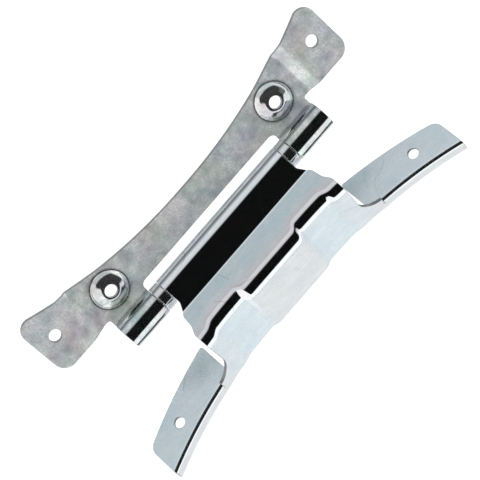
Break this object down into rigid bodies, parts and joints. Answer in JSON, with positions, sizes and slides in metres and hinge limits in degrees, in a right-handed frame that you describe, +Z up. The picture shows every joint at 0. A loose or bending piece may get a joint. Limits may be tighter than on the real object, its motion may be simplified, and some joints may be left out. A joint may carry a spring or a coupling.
{
  "type": "door hinge",
  "caption": "Pressed-steel door hinge: a joggled cabinet leaf with rolled knuckles and a cranked, fluted door leaf, turning on a steel pin with collared bushes.",
  "frame": {"origin": "middle of the four screw holes of the cabinet leaf, on the plane of their front faces, where they meet the back of the cabinet's front panel", "axes": "+Z up along the pin; -Y out of the cabinet, towards the user; +X from the cabinet leaf towards the pin and the open door leaf"},
  "size_m": [0.092, 0.0315, 0.1814],
  "materials": {
    "cabinet_zinc": "satin zinc plate, mottled, with fine handling scratches",
    "door_zinc": "bright zinc plate, blue passivated, faintly iridescent",
    "pin_steel": "ground steel",
    "bush_steel": "bright turned steel, zinc plated"
  },
  "bodies": {
    "cabinet": {"cabinet_leaf": "cabinet_zinc", "hinge_pin": "pin_steel"},
    "door": {"door_leaf": "door_zinc", "upper_bush": "bush_steel", "lower_bush": "bush_steel"}
  },
  "joints": [
    {"name": "door_swing", "type": "hinge", "parent": "cabinet", "child": "door", "pos_m": [0.02063, -0.00135, 0], "axis": [0, 0, 1], "range_deg": [-128, 2]}
  ]
}
